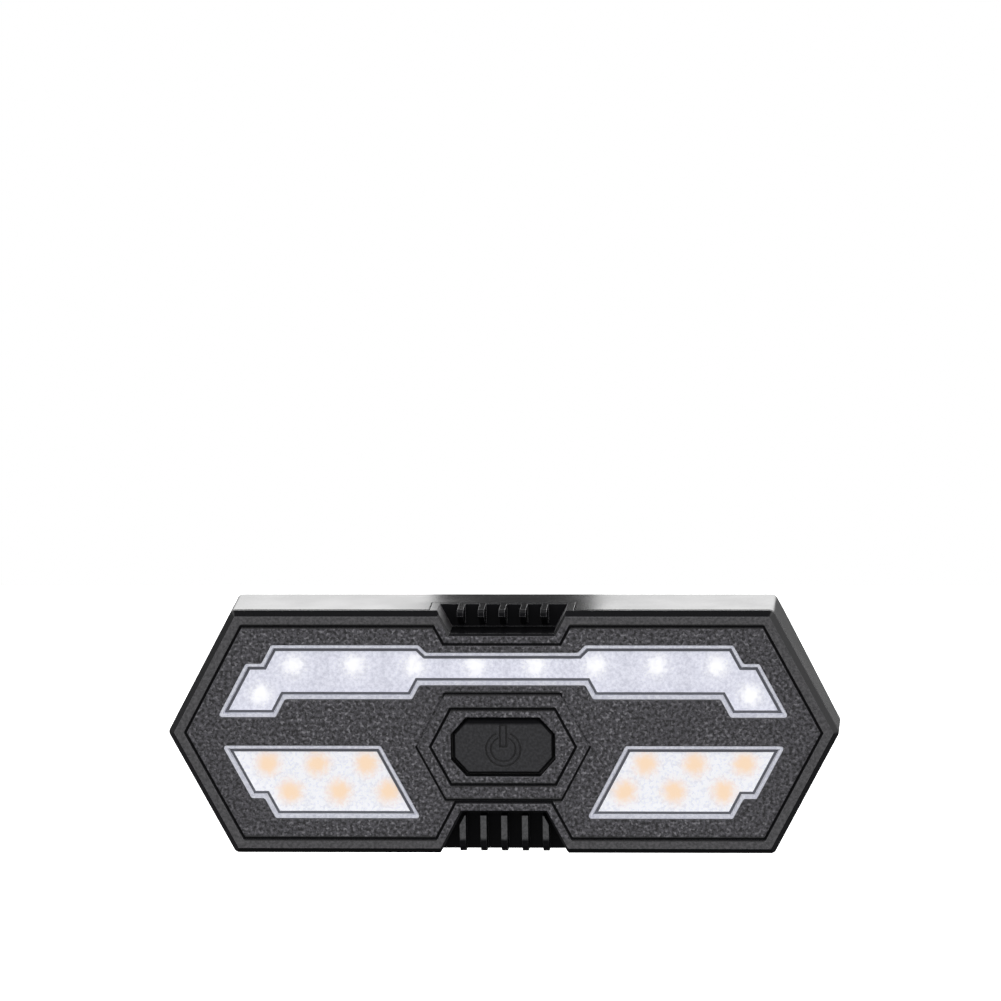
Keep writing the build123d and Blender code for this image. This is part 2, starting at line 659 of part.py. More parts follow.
def icon_lines():
    """Thin outlines that leave a power symbol standing: a broken ring and a bar."""
    ring = Circle(ICON_OUTER + ICON_LINE) - Circle(ICON_INNER - ICON_LINE)
    ring -= Circle(ICON_OUTER) - Circle(ICON_INNER)
    reach = 2 * ICON_OUTER
    half = reach * math.tan(math.radians(ICON_GAP_HALF_ANGLE))
    wedge = make_face(Polyline((0, 0), (half, reach), (-half, reach), close=True))
    bar_height = ICON_BAR_TOP - ICON_BAR_BOTTOM
    bar_middle = (ICON_BAR_TOP + ICON_BAR_BOTTOM) / 2
    bar = Rectangle(ICON_BAR_WIDTH + 2 * ICON_LINE, bar_height + 2 * ICON_LINE)
    bar -= Rectangle(ICON_BAR_WIDTH, bar_height)
    return Pos(0, BUTTON_Z - ICON_DROP) * ((ring - wedge) + Pos(0, bar_middle) * bar)


def make_power_button():
    """The button, its flange behind the cover and the post that reaches for the switch."""
    flange_front = FACE + BUTTON_STOP_GAP
    flange_back = flange_front + BUTTON_FLANGE_THICK
    post_back = BOARD_FRONT - SWITCH_THICK - STEM_SUNK
    key = plate(button_outline(), BUTTON_RECESS, flange_front)
    key = chamfer(key.faces().sort_by(Axis.Y)[0].edges(), BUTTON_BEVEL)
    key += plate(button_outline(), flange_front, flange_back, grow=BUTTON_FLANGE)
    key += rod(0, BUTTON_Z, BUTTON_POST_RADIUS, flange_back, post_back - STEM_RADIUS)
    return key - push(icon_lines(), BUTTON_RECESS, BUTTON_RECESS + ICON_DEPTH)


def make_switch_stem():
    """The stem between the button's post and the switch's inside."""
    post_back = BOARD_FRONT - SWITCH_THICK - STEM_SUNK - STEM_RADIUS
    return rod(0, BUTTON_Z, STEM_RADIUS, post_back, BOARD_FRONT - SWITCH_THICK + STEM_SUNK)


def make_switch_body():
    """The switch's case with the hole that its stem sinks into."""
    front = BOARD_FRONT - SWITCH_THICK
    case = brick(0, BUTTON_Z, SWITCH_SIZE, SWITCH_SIZE, front, BOARD_FRONT)
    return case - rod(0, BUTTON_Z, STEM_HOLE_RADIUS, front, front + STEM_HOLE_DEPTH)


# Chips, battery and leads

def make_chip(x, z, width, height, thick):
    """A chip on the back of the board."""
    return brick(x, z, width, height, BOARD_BACK, BOARD_BACK + thick)


def make_battery_cell():
    """A flat pouch cell with rounded long edges."""
    width = BATTERY_X[1] - BATTERY_X[0]
    height = BATTERY_Z[1] - BATTERY_Z[0]
    cell = brick(sum(BATTERY_X) / 2, sum(BATTERY_Z) / 2, width, height, BATTERY_FRONT, BATTERY_BACK)
    return fillet(cell.edges().filter_by(Axis.X), BATTERY_ROUND)


def make_battery_pad():
    """Foam tape between the cell and the back wall."""
    width = BATTERY_X[1] - BATTERY_X[0] - 2 * PAD_INSET
    height = BATTERY_Z[1] - BATTERY_Z[0] - 2 * PAD_INSET
    return brick(sum(BATTERY_X) / 2, sum(BATTERY_Z) / 2, width, height, BATTERY_BACK, INNER_BACK)


def make_battery_lead(side):
    """One of the two short leads from the cell to its plug, with a gentle step."""
    start_x = BATTERY_X[1]
    end_x = start_x + LEAD_LENGTH
    cell_y = (BATTERY_FRONT + BATTERY_BACK) / 2
    plug_y = BOARD_BACK + LEAD_HEIGHT
    z = PLUG_Z + side * LEAD_SPACING / 2
    run = LEAD_LENGTH / 3
    points = [(start_x, cell_y, z), (start_x + run, cell_y, z), (end_x - run, plug_y, z), (end_x, plug_y, z)]
    turn = math.atan2(abs(cell_y - plug_y), LEAD_LENGTH - 2 * run)
    widest_bend = LEAD_BEND_SHARE * run / math.tan(turn / 2)
    path = FilletPolyline(*points, radius=min(LEAD_BEND, widest_bend))
    seat = Plane(origin=points[0], z_dir=(1, 0, 0))
    return sweep(seat * Circle(LEAD_RADIUS), path=path)


def make_battery_connector():
    """The plug and socket that the leads end in."""
    length, thick, height = PLUG_SIZE
    x = BATTERY_X[1] + LEAD_LENGTH + length / 2
    return brick(x, PLUG_Z, length, height, BOARD_BACK, BOARD_BACK + thick)


# Charging socket and its cover

def socket_form(width, thick, low, high):
    """A flat-sided round-ended bar along Z, at the socket's place."""
    section = RectangleRounded(width, thick, (thick - SHELL_END_FLAT) / 2)
    return extrude(Plane(origin=(SOCKET_X, SOCKET_Y, low)) * section, amount=high - low)


def make_usb_socket_shell():
    """The socket's steel shell, open downwards."""
    top = SHELL_FACE_Z + SHELL_LENGTH
    shell = socket_form(SHELL_WIDTH, SHELL_THICK, SHELL_FACE_Z, top)
    room = socket_form(SHELL_WIDTH - 2 * SHELL_WALL, SHELL_THICK - 2 * SHELL_WALL,
                       SHELL_FACE_Z, top - SHELL_WALL)
    return shell - room


def make_usb_socket_tongue():
    """The contact tongue inside the shell."""
    low = SHELL_FACE_Z + TONGUE_SET
    high = SHELL_FACE_Z + SHELL_LENGTH - SHELL_WALL
    return Pos(SOCKET_X, SOCKET_Y, (low + high) / 2) * Box(TONGUE_WIDTH, TONGUE_THICK, high - low)


def make_usb_cover():
    """Rubber flap, rounded along its hinge, with a plug that fills the socket's mouth."""
    flap = Pos(SOCKET_X, SOCKET_Y, COVER_HINGE_Z) * Box(COVER_LENGTH, COVER_HEIGHT, COVER_THICK)
    hinge = Pos(COVER_HINGE_X, SOCKET_Y, COVER_HINGE_Z) * Rot(90, 0, 0)
    flap += hinge * Cylinder(COVER_THICK / 2, COVER_HEIGHT)
    width, thick, height = COVER_PLUG
    low = -HALF_HEIGHT + COVER_THICK
    plug = Pos(SOCKET_X, SOCKET_Y, low + height / 2 - COVER_THICK / 2) * Box(
        width, thick, height - COVER_THICK)
    return flap + plug


# Screws

def make_screw(x, z, radius, head_radius, head_thick, seat, tip):
    """A pan-head screw from behind, with a cross in its head."""
    screw = rod(x, z, radius, tip, seat)
    head = rod(x, z, head_radius, seat, seat + head_thick)
    head = fillet(head.edges().group_by(Axis.Y)[-1], head_thick / 2)
    screw += head
    slot_front = seat + head_thick - CROSS_DEPTH
    arm = 2 * head_radius * CROSS_SHARE
    for width, height in ((CROSS_WIDTH, arm), (arm, CROSS_WIDTH)):
        screw -= brick(x, z, width, height, slot_front, seat + head_thick)
    return screw.solid()


def make_cover_screws():
    """The four screws that hold the shells together."""
    seat = BODY_DEPTH - COVER_SCREW_HEAD - BLIND_END
    return Compound(children=[
        make_screw(x, z, COVER_SCREW_RADIUS, COVER_SCREW_HEAD_RADIUS, COVER_SCREW_HEAD, seat,
                   COVER_SCREW_TIP) for x, z in COVER_SCREWS])


def make_board_screws():
    """The two screws that hold the board."""
    return Compound(children=[
        make_screw(x, z, BOARD_SCREW_RADIUS, BOARD_SCREW_HEAD_RADIUS, BOARD_SCREW_HEAD, BOARD_BACK,
                   BOARD_SCREW_TIP) for x, z in BOARD_SCREWS])


# Seat-post bracket, in the row frame

def tube_z(outer, inner, height):
    """A ring about the seat post's axis."""
    return Cylinder(outer, height) - Cylinder(inner, height)


def slit():
    """The gap that lets the collar close on the post."""
    reach = EAR_OUT + CUT_MARGIN
    return Pos(reach / 2, 0, 0) * Box(reach, COLLAR_GAP, COLLAR_HEIGHT + CUT_MARGIN)


def make_bracket_collar():
    """Split collar with two ears, and the slide tongue in front."""
    collar = Cylinder(COLLAR_OUTER, COLLAR_HEIGHT)
    collar = fillet(collar.edges().filter_by(GeomType.CIRCLE), COLLAR_ROUND)
    base_depth = -BASE_FACE_Y
    collar += Pos(0, BASE_FACE_Y + base_depth / 2, 0) * Box(BASE_WIDTH, base_depth, COLLAR_HEIGHT)
    ears = Pos(EAR_OUT / 2, 0, 0) * Box(EAR_OUT, 2 * EAR_FACE, EAR_HEIGHT)
    ear_corners = ears.edges().filter_by(Axis.Y).group_by(Axis.X)[-1]
    ears = fillet(ear_corners, EAR_ROUND)
    outer_faces = ears.faces().filter_by(Axis.Y)
    collar += chamfer(outer_faces.edges(), EAR_BEVEL)
    collar -= Cylinder(LINER_OUTER, COLLAR_HEIGHT + CUT_MARGIN)
    collar -= slit()
    screw_room = Pos(CLAMP_SCREW_X, 0, 0) * Rot(90, 0, 0)
    collar -= screw_room * Cylinder(CLAMP_SCREW_RADIUS + CLAMP_CLEARANCE, 2 * EAR_FACE + CUT_MARGIN)
    nut_side = NUT_SIZE + 2 * NUT_GAP
    collar -= Pos(CLAMP_SCREW_X, -EAR_FACE + NUT_THICK / 2, 0) * Box(nut_side, NUT_THICK, nut_side)
    return collar + slide_tongue()


def slide_tongue():
    """A T-shaped rail that the light's channel drops over."""
    tongue_front = FACE_Y + BODY_DEPTH + SLIDE_GAP
    tongue_back = tongue_front + SLIDE_THICK
    height = SLIDE_TOP - SLIDE_BOTTOM
    middle = (SLIDE_TOP + SLIDE_BOTTOM) / 2
    head = Pos(0, (tongue_front + tongue_back) / 2, middle) * Box(SLIDE_WIDTH, SLIDE_THICK, height)
    head = chamfer(head.edges().filter_by(Axis.X).group_by(Axis.Z)[-1], SLIDE_BEVEL)
    neck_length = BASE_FACE_Y - tongue_back
    neck = Pos(0, tongue_back + neck_length / 2, middle) * Box(SLIDE_NECK, neck_length, height)
    return head + neck


def make_collar_liner():
    """Rubber lining between the collar and the post."""
    return tube_z(LINER_OUTER, POST_DIAMETER / 2, COLLAR_HEIGHT) - slit()


def make_collar_nut():
    """Square nut caught in the front ear."""
    nut = Pos(CLAMP_SCREW_X, -EAR_FACE + NUT_THICK / 2, 0) * Box(NUT_SIZE, NUT_THICK, NUT_SIZE)
    bore = Rot(90, 0, 0) * Cylinder(CLAMP_SCREW_RADIUS + NUT_THREAD_GAP, 2 * EAR_FACE + CUT_MARGIN)
    return nut - Pos(CLAMP_SCREW_X, 0, 0) * bore


def along_screw(sketch, low, high):
    """A section carried along the clamp screw's axis, from one Y to another."""
    seat = Plane(origin=(CLAMP_SCREW_X, low, 0), x_dir=(1, 0, 0), z_dir=(0, 1, 0))
    return extrude(seat * sketch, amount=high - low)


def make_clamp_washer():
    """Washer between the knob and the rear ear."""
    low = EAR_FACE + CLAMP_CLEARANCE
    ring = Circle(WASHER_RADIUS) - Circle(CLAMP_SCREW_RADIUS + NUT_THREAD_GAP)
    return along_screw(ring, low, low + WASHER_THICK)


def make_collar_screw():
    """Hexagon bolt with its head sunk in the knob."""
    knob_back = EAR_FACE + CLAMP_CLEARANCE + WASHER_THICK + KNOB_THICK
    bolt = along_screw(Circle(CLAMP_SCREW_RADIUS), -EAR_FACE - CLAMP_SCREW_TAIL, knob_back - BOLT_HEAD_THICK)
    head = RegularPolygon(BOLT_HEAD / 2, 6, major_radius=False)
    return bolt + along_screw(head, knob_back - BOLT_HEAD_THICK, knob_back)


def make_thumb_knob():
    """Plastic knob with scalloped edge, pressed round the bolt's head."""
    front = EAR_FACE + CLAMP_CLEARANCE + WASHER_THICK
    back = front + KNOB_THICK
    knob = along_screw(Circle(KNOB_RADIUS), front, back)
    knob = chamfer(knob.faces().sort_by(Axis.Y)[-1].edges(), KNOB_EDGE)
    place = KNOB_RADIUS + KNOB_SCALLOP / 2
    for index in range(KNOB_LOBES):
        turn = math.radians(360 * (index + 0.5) / KNOB_LOBES)
        scallop = Pos(place * math.cos(turn), place * math.sin(turn)) * Circle(KNOB_SCALLOP)
        knob -= along_screw(scallop, front, back)
    head = RegularPolygon(BOLT_HEAD / 2, 6, major_radius=False)
    knob -= along_screw(Circle(CLAMP_SCREW_RADIUS), front, back)
    return knob - along_screw(head, back - BOLT_HEAD_THICK, back)


# All pieces, each under its node's name

def light_pieces():
    """The pieces of the light, in the light's own frame."""
    pieces = {name: make_lens(points) for name, points in LENS_OUTLINES.items()}
    pieces.update({
        "front_cover": make_front_cover(),
        "rear_cover": make_rear_cover(),
        "cover_seal": make_cover_seal(),
        "light_baffle": make_light_baffle(),
        "main_board": make_main_board(),
        "white_leds": make_lamps(white_places()),
        "amber_leds_left": make_lamps(amber_places(-1)),
        "amber_leds_right": make_lamps(amber_places(1)),
        "power_button": make_power_button(),
        "switch_stem": make_switch_stem(),
        "switch_body": make_switch_body(),
        "control_chip": make_chip(*CONTROL_CHIP),
        "charger_chip": make_chip(*CHARGER_CHIP),
        "radio_chip": make_chip(*RADIO_CHIP),
        "radio_antenna": make_chip(*RADIO_ANTENNA),
        "battery_cell": make_battery_cell(),
        "battery_pad": make_battery_pad(),
        "battery_lead_red": make_battery_lead(1),
        "battery_lead_black": make_battery_lead(-1),
        "battery_connector": make_battery_connector(),
        "usb_socket_shell": make_usb_socket_shell(),
        "usb_socket_tongue": make_usb_socket_tongue(),
        "usb_cover": make_usb_cover(),
        "cover_screws": make_cover_screws(),
        "board_screws": make_board_screws(),
    })
    return pieces


def bracket_pieces():
    """The pieces of the bracket, in the row frame."""
    return {
        "bracket_collar": make_bracket_collar(),
        "collar_liner": make_collar_liner(),
        "collar_nut": make_collar_nut(),
        "clamp_washer": make_clamp_washer(),
        "collar_screw": make_collar_screw(),
        "thumb_knob": make_thumb_knob(),
    }


def main():
    os.makedirs("parts", exist_ok=True)
    to_row_frame = Pos(0, FACE_Y, 0)
    pieces = {name: to_row_frame * piece for name, piece in light_pieces().items()}
    pieces.update(bracket_pieces())
    for name, piece in pieces.items():
        export_step(piece, f"parts/{name}.step")
    print("front face at y =", round(FACE_Y, 3))


main()
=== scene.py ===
import bpy
import math
from mathutils import Matrix, Vector


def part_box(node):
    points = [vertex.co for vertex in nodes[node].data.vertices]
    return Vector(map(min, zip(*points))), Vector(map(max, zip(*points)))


# Looks of the bicycle tail light. Lengths are in metres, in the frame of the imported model, and
# materials work in millimetres from the middle of the light's front face: x to the right, depth
# backwards and z up. A pair of numbers is where a share starts to change and where it ends.
MM = 0.001

# Camera: where it stands, and where the middle of the front face lies in the picture
PICTURE_SIDE = 1001
FACE_PIXEL = (502.8, 733.0)
PIXELS_PER_MM = 6.73
CAMERA_DISTANCE = 1.2
CAMERA_ELEVATION = 12.0
CAMERA_AZIMUTH = 3.9
CAMERA_ROLL = -0.74
SENSOR_WIDTH = 36.0

# Studio in front of the light: a bright band round the horizon, brighter still in its upper part,
# dim above and below. Heights and sides are those of a direction of length 1.
BAND_BRIGHT = 1.6
BAND_DIM = 0.04
BAND_FOOT = (-0.25, 0.1)
BAND_HEAD = (0.72, 0.93)
HIGH_LIGHT = (0.3, 0.6)
HIGH_SHARE = 1.8
LEFT_SIDE = (-0.95, -0.6)
LEFT_BRIGHT = 0.35
RIGHT_SIDE = (0.75, 0.96)
RIGHT_SHARE = 0.6

# Studio behind the light, which the top wall mirrors, and the light from far below
BACK_SIDE = (0.6, 0.9)
BACK_FOOT = (-0.02, 0.14)
BACK_BRIGHT = 2.5
LOW_FOOT = (-0.95, -0.75)
LOW_BRIGHT = 0.25

# Stage pieces
SQUARE = ((-1, -1), (1, -1), (1, 1), (-1, 1))
FLOOR_Z = -1.15
FLOOR_HALF = 6.0
FLOOR_COLOUR = (0.9, 0.9, 0.9)
CARD_MIDDLE = (-0.0045, 0.06, 0.052)
CARD_HALF_WIDTH = 0.013
CARD_HALF_HEIGHT = 0.035
CARD_COLOUR = (0.01, 0.01, 0.01)
STAGE_ROUGHNESS = 0.9

# Body sizes that the materials need, in millimetres
HALF_WIDTH = 50.0
HALF_HEIGHT = 18.4
CORNER_INSET = 9.8
RIM_LINE_INSET = 2.3
NOTCH_MOUTH_HALF = 9.55
TOP_NOTCH_Z = 15.0
BOTTOM_NOTCH_Z = -12.15
RIB_FRONT = 0.5
BUTTON_RECESS = 0.6
BUTTON_MIDDLE_Z = -2.13
WINDOW_DEPTH = 0.6

# The outer line round the button: its tip, its corner from the button's middle, and a little more
# than its depth
FRAME_TIP_X = 12.95
FRAME_CORNER_X = 8.65
FRAME_CORNER_UP = 8.08
FAINT_LIFT = 0.4

# Level stretches of the face's grooves, in millimetres: height above and below a middle, how far
# out they start and end, and the height of that middle
LEVEL_LINES = [(16.1, 10.1, 38.8, 0.0),
               (FRAME_CORNER_UP, 0.0, 8.6, BUTTON_MIDDLE_Z),
               (5.735, 0.0, 7.8, BUTTON_MIDDLE_Z)]

# Depths behind the front face at which finishes, painted light and painted shade start and end
FACE_SKIN = (0.12, 0.04)
GROOVE_SKIN = (0.1, 0.3)
RIB_SKIN = (RIB_FRONT + 0.3, RIB_FRONT + 0.2)
BUTTON_SKIN = (BUTTON_RECESS + 0.12, BUTTON_RECESS + 0.05)
WINDOW_SKIN = (WINDOW_DEPTH - 0.1, WINDOW_DEPTH - 0.04)
WINDOW_LINE_SKIN = (WINDOW_DEPTH + 0.03, WINDOW_DEPTH + 0.1)
INSIDE_SKIN = (0.9, 1.6)

# Heights between which the bottom ribs' painted light gives way to painted shade at their rounded
# ends, and the button's painted shadow along its top ends
RIB_ROUND = (-16.6, -16.1)
BUTTON_SHADE = (1.45, 0.95)

# Distances at which a gloss, painted light and painted shade start and end: from the body's outline,
# from a notch's side wall and from the middle of a groove
INSIDE_INSET = (0.1, 0.5)
FLANK_REACH = (0.5, 0.3)
LINE_SHADE = (0.46, 0.28)
FAINT_REACH = (0.55, 0.45)

# The faint stretch of the outer line starts above the button's middle and ends beside its corner
FAINT_FOOT = (-0.2, 0.3)
FAINT_HEAD = (FRAME_CORNER_X, FRAME_CORNER_X + 0.4)

# Middles of the lamps behind the right-hand half of each lens, across and up, and how far off
# them the frosted window shows their spots
WHITE_LAMPS = [(4.5, 9.5), (13.5, 9.5), (22.5, 9.5), (31.5, 9.5), (36.5, 5.1)]
AMBER_LAMPS = [(20.8, -5.4), (28.15, -5.4), (35.5, -5.4), (17.6, -9.6), (24.95, -9.6), (32.3, -9.6)]
SPOT_SHIFT = (0.4, 0.6)

# How far from a lamp its core, its halo and its haze reach, and how far their outlines fray
CORE_REACH = (1.9, 0.5)
HALO_REACH = (3.0, 0.6)
HAZE_REACH = (7.0, 2.0)
SPOT_FRAY = 1.6

# Where the cloudy values are read, far from the point at which all their layers line up
NOISE_START = (137.0, 59.0, 83.0)

# How alike a softened and a flat direction are off an edge and on it
EDGE_LIKENESS = (0.98, 0.8)

# How far a surface turns before it counts as facing the front, down or up, or as a notch's side
FRONT_TURN = (-0.9, -0.98)
DOWN_TURN = (-0.1, -0.35)
UP_TURN = (0.1, 0.5)
SIDE_TURN_START = (0.7, 0.8)
SIDE_TURN_END = (0.97, 0.93)

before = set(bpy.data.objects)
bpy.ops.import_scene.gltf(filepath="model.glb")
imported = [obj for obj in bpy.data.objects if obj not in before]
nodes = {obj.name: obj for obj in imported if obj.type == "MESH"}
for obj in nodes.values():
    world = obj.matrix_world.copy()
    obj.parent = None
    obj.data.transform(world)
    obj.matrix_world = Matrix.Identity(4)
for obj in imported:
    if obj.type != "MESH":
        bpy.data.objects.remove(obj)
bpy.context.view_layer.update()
FACE_MIDDLE = Vector((0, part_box("front_cover")[0].y, 0))


# Camera

def add_camera():
    """A long lens at the photograph's angle, turned so that the light lies low in the picture."""
    elevation = math.radians(CAMERA_ELEVATION)
    azimuth = math.radians(CAMERA_AZIMUTH)
    focal_pixels = PIXELS_PER_MM / MM * CAMERA_DISTANCE
    level = Matrix.Rotation(azimuth, 3, "Z") @ Matrix.Rotation(math.pi / 2 - elevation, 3, "X")
    roll = Matrix.Rotation(math.radians(CAMERA_ROLL), 3, "Z")
    sight = Vector((FACE_PIXEL[0] - PICTURE_SIDE / 2, PICTURE_SIDE / 2 - FACE_PIXEL[1], -focal_pixels))
    tilt = sight.rotation_difference(Vector((0, 0, -1))).to_matrix()
    data = bpy.data.cameras.new("camera")
    data.sensor_width = SENSOR_WIDTH
    data.lens = focal_pixels / PICTURE_SIDE * SENSOR_WIDTH
    camera = bpy.data.objects.new("camera", data)
    camera.location = FACE_MIDDLE + level @ Vector((0, 0, CAMERA_DISTANCE))
    camera.rotation_euler = (level @ roll @ tilt).to_euler()
    bpy.context.scene.collection.objects.link(camera)
    bpy.context.scene.camera = camera


# Node trees

class Graph:
    """A node tree with short ways to add nodes and link them. A share goes from 0 to 1."""

    def __init__(self, tree):
        self.tree = tree

    def node(self, kind, **settings):
        """A new node with the given settings."""
        new = self.tree.nodes.new(kind)
        for name, value in settings.items():
            setattr(new, name, value)
        return new

    def feed(self, socket, value):
        """Links an output to the socket, or sets a plain value on it."""
        if isinstance(value, bpy.types.NodeSocket):
            self.tree.links.new(value, socket)
        else:
            socket.default_value = value

    def feed_all(self, node, values):
        """Feeds a node's sockets by their names."""
        for name, value in values.items():
            self.feed(node.inputs[name], value)

    def split(self, vector):
        """The three numbers of a vector."""
        parts = self.node("ShaderNodeSeparateXYZ")
        self.feed(parts.inputs[0], vector)
        return parts.outputs

    def maths(self, operation, *values):
        """One operation on numbers."""
        node = self.node("ShaderNodeMath", operation=operation)
        for socket, value in zip(node.inputs, values):
            self.feed(socket, value)
        return node.outputs[0]

    def unsigned(self, value):
        """The value without its sign."""
        return self.maths("ABSOLUTE", value)

    def minus(self, value, other):
        """The first value less the second."""
        return self.maths("SUBTRACT", value, other)

    def times(self, value, factor):
        """The product of two values."""
        return self.maths("MULTIPLY", value, factor)

    def all_of(self, first, *others):
        """The product of some shares, which is 1 where each of them is 1."""
        for share in others:
            first = self.times(first, share)
        return first

    def any_of(self, first, *others):
        """The largest of some shares."""
        for share in others:
            first = self.maths("MAXIMUM", first, share)
        return first

    def ramp(self, value, low, high, start=0.0, end=1.0):
        """Goes smoothly from start to end while value goes from low to high."""
        node = self.node("ShaderNodeMapRange", interpolation_type="SMOOTHSTEP")
        self.feed_all(node, {"Value": value, "From Min": low, "From Max": high,
                             "To Min": start, "To Max": end})
        return node.outputs["Result"]

    def above(self, value, edge, soft=0.1):
        """1 where the value is over the edge."""
        return self.ramp(value, edge - soft, edge + soft)

    def below(self, value, edge, soft=0.1):
        """1 where the value is under the edge."""
        return self.ramp(value, edge + soft, edge - soft)

    def mix(self, share, first, second):
        """A number between two numbers."""
        node = self.node("ShaderNodeMix", data_type="FLOAT")
        for socket, value in zip(node.inputs[:1] + node.inputs[2:4], (share, first, second)):
            self.feed(socket, value)
        return node.outputs[0]

    def blend(self, share, first, second):
        """A colour between two colours."""
        node = self.node("ShaderNodeMix", data_type="RGBA")
        for socket, value in zip(node.inputs[:1] + node.inputs[6:8], (share, first, second)):
            self.feed(socket, (*value, 1) if isinstance(value, tuple) else value)
        return node.outputs[2]


# Light and floor

def add_world():
    """Soft light from all round the horizon; the camera itself sees plain white."""
    world = bpy.data.worlds.new("studio")
    bpy.context.scene.world = world
    world.use_nodes = True
    graph = Graph(world.node_tree)
    side, back, height = graph.split(graph.node("ShaderNodeTexCoord").outputs["Generated"])
    foot = graph.ramp(height, *BAND_FOOT)
    head = graph.ramp(height, *BAND_HEAD, start=1.0, end=0.0)
    high = graph.ramp(height, *HIGH_LIGHT, start=1.0, end=HIGH_SHARE)
    low = graph.ramp(height, *LOW_FOOT, start=BAND_DIM, end=LOW_BRIGHT)
    dim = graph.mix(foot, low, BAND_DIM)
    from_left = graph.ramp(side, *LEFT_SIDE, start=LEFT_BRIGHT, end=BAND_BRIGHT)
    to_right = graph.ramp(side, *RIGHT_SIDE, start=1.0, end=RIGHT_SHARE)
    front_light = graph.mix(graph.all_of(foot, head, high), dim, graph.all_of(from_left, to_right))
    back_light = graph.mix(graph.all_of(graph.ramp(height, *BACK_FOOT), head), dim, BACK_BRIGHT)
    light = graph.mix(graph.ramp(back, *BACK_SIDE), front_light, back_light)
    seen = graph.node("ShaderNodeLightPath").outputs["Is Camera Ray"]
    background = world.node_tree.nodes["Background"]
    graph.feed(background.inputs["Strength"], graph.mix(seen, light, 1.0))
    background.inputs["Color"].default_value = (1, 1, 1, 1)


def add_plane(name, middle, across, up, material):
    """A flat stage piece, from its middle and its two half sides."""
    middle, across, up = Vector(middle), Vector(across), Vector(up)
    corners = [middle + across * side + up * end for side, end in SQUARE]
    mesh = bpy.data.meshes.new(name)
    mesh.from_pydata(corners, [], [tuple(range(len(corners)))])
    mesh.materials.append(material)
    plane = bpy.data.objects.new(name, mesh)
    bpy.context.scene.collection.objects.link(plane)
    return plane


def glowing(name, colour):
    """A plain pale surface that gives light."""
    material = bpy.data.materials.new(name)
    material.use_nodes = True
    shader = material.node_tree.nodes["Principled BSDF"]
    shader.inputs["Base Color"].default_value = (*colour, 1)
    shader.inputs["Roughness"].default_value = STAGE_ROUGHNESS
    shader.inputs["Emission Color"].default_value = (*colour, 1)
    shader.inputs["Emission Strength"].default_value = 1.0
    return material


def add_stage():
    """A pale floor well below the light, and a dark card that the top wall mirrors."""
    floor = add_plane("floor", (0, 0, FLOOR_Z), (FLOOR_HALF, 0, 0), (0, FLOOR_HALF, 0),
                      glowing("pale_floor", FLOOR_COLOUR))
    floor.visible_glossy = False
    floor.visible_diffuse = False
    card = add_plane("dark_card", CARD_MIDDLE, (CARD_HALF_WIDTH, 0, 0), (0, 0, CARD_HALF_HEIGHT),
                     plain("dark_card", CARD_COLOUR, STAGE_ROUGHNESS))
    card.visible_camera = False
    card.visible_shadow = False


# Materials

